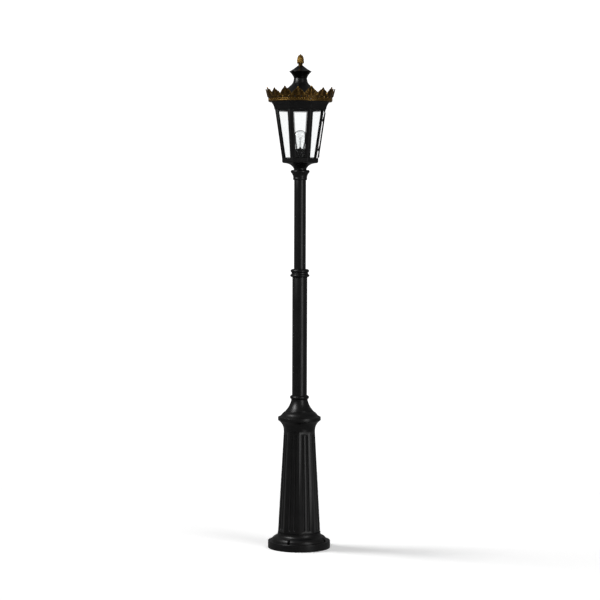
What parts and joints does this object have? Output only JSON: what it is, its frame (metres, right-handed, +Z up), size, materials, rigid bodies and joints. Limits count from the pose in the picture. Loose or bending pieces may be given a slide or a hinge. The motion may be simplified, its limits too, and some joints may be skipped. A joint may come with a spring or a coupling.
{
  "type": "street lantern",
  "caption": "Crowned octagonal street lantern with glazed sides and hinged door, on a two-stage round post with a fluted octagonal base and a round bolted foot.",
  "frame": {"origin": "centre of the foot's underside, on the ground", "axes": "+Z up the post, -Y towards the lantern's front face, +X towards the glazed door"},
  "size_m": [0.2888, 0.2888, 2.077],
  "materials": {
    "black_powder_coat": "satin powder coat on cast iron and steel tube",
    "aged_bronze": "dark patinated brass with rubbed gold edges",
    "window_glass": "clear float glass",
    "lamp_glass": "clear blown glass",
    "lamp_brass": "nickelled brass",
    "black_plastic": "moulded phenolic",
    "black_rubber": "moulded rubber",
    "zinc_steel": "zinc plated steel",
    "black_screw": "blackened knurled steel"
  },
  "bodies": {
    "root": {"base_neck": "black_powder_coat", "base_shoulder": "black_powder_coat", "base_tie_rods": "zinc_steel", "bulb_cap": "lamp_brass", "bulb_envelope": "lamp_glass", "bulb_stem": "lamp_glass", "cable_gland": "black_rubber", "canopy_cornice": "black_powder_coat", "capital_screws": "zinc_steel", "collar_screws": "zinc_steel", "crown_screws": "zinc_steel", "door_gasket": "black_rubber", "finial_stud": "zinc_steel", "fluted_shell": "black_powder_coat", "foot_casting": "black_powder_coat", "gear_box": "black_plastic", "gear_box_lid": "black_plastic", "hinge_lug_lower": "black_powder_coat", "hinge_lug_upper": "black_powder_coat", "hinge_pins": "zinc_steel", "holder_contact": "lamp_brass", "lampholder": "black_plastic", "lantern_dish": "black_powder_coat", "lantern_post_1": "black_powder_coat", "lantern_post_2": "black_powder_coat", "lantern_post_3": "black_powder_coat", "lantern_post_4": "black_powder_coat", "lantern_post_5": "black_powder_coat", "lantern_post_6": "black_powder_coat", "lantern_post_7": "black_powder_coat", "lantern_post_8": "black_powder_coat", "lantern_spigot": "zinc_steel", "leaf_crown": "aged_bronze", "lower_frame_ring": "black_powder_coat", "lower_tube": "black_powder_coat", "mid_collar": "black_powder_coat", "pagoda_cap": "black_powder_coat", "pine_cone_finial": "aged_bronze", "post_capital": "black_powder_coat", "roof_chimney": "black_powder_coat", "roof_cone": "black_powder_coat", "spigot_nut": "zinc_steel", "terminal_block": "black_plastic", "tube_joint_sleeve": "zinc_steel", "upper_frame_ring": "black_powder_coat", "upper_tube": "black_powder_coat", "window_pane_1": "window_glass", "window_pane_2": "window_glass", "window_pane_3": "window_glass", "window_pane_4": "window_glass", "window_pane_5": "window_glass", "window_pane_6": "window_glass", "window_pane_7": "window_glass"},
    "door": {"door_frame": "black_powder_coat", "door_pane": "window_glass", "door_knuckle_lower": "black_powder_coat", "door_knuckle_upper": "black_powder_coat"},
    "door_screw": {"door_screw": "black_screw"}
  },
  "joints": [
    {"name": "door_hinge", "type": "hinge", "parent": "root", "child": "door", "pos_m": [0.0728, 0.02828, 1.641], "axis": [0.1442, 0.0597, 0.9877], "range_deg": [0, 100]},
    {"name": "door_screw_turn", "type": "hinge", "parent": "door", "child": "door_screw", "pos_m": [0.07717, 0, 1.649], "axis": [0.9895, 0, -0.1445], "continuous": true}
  ]
}
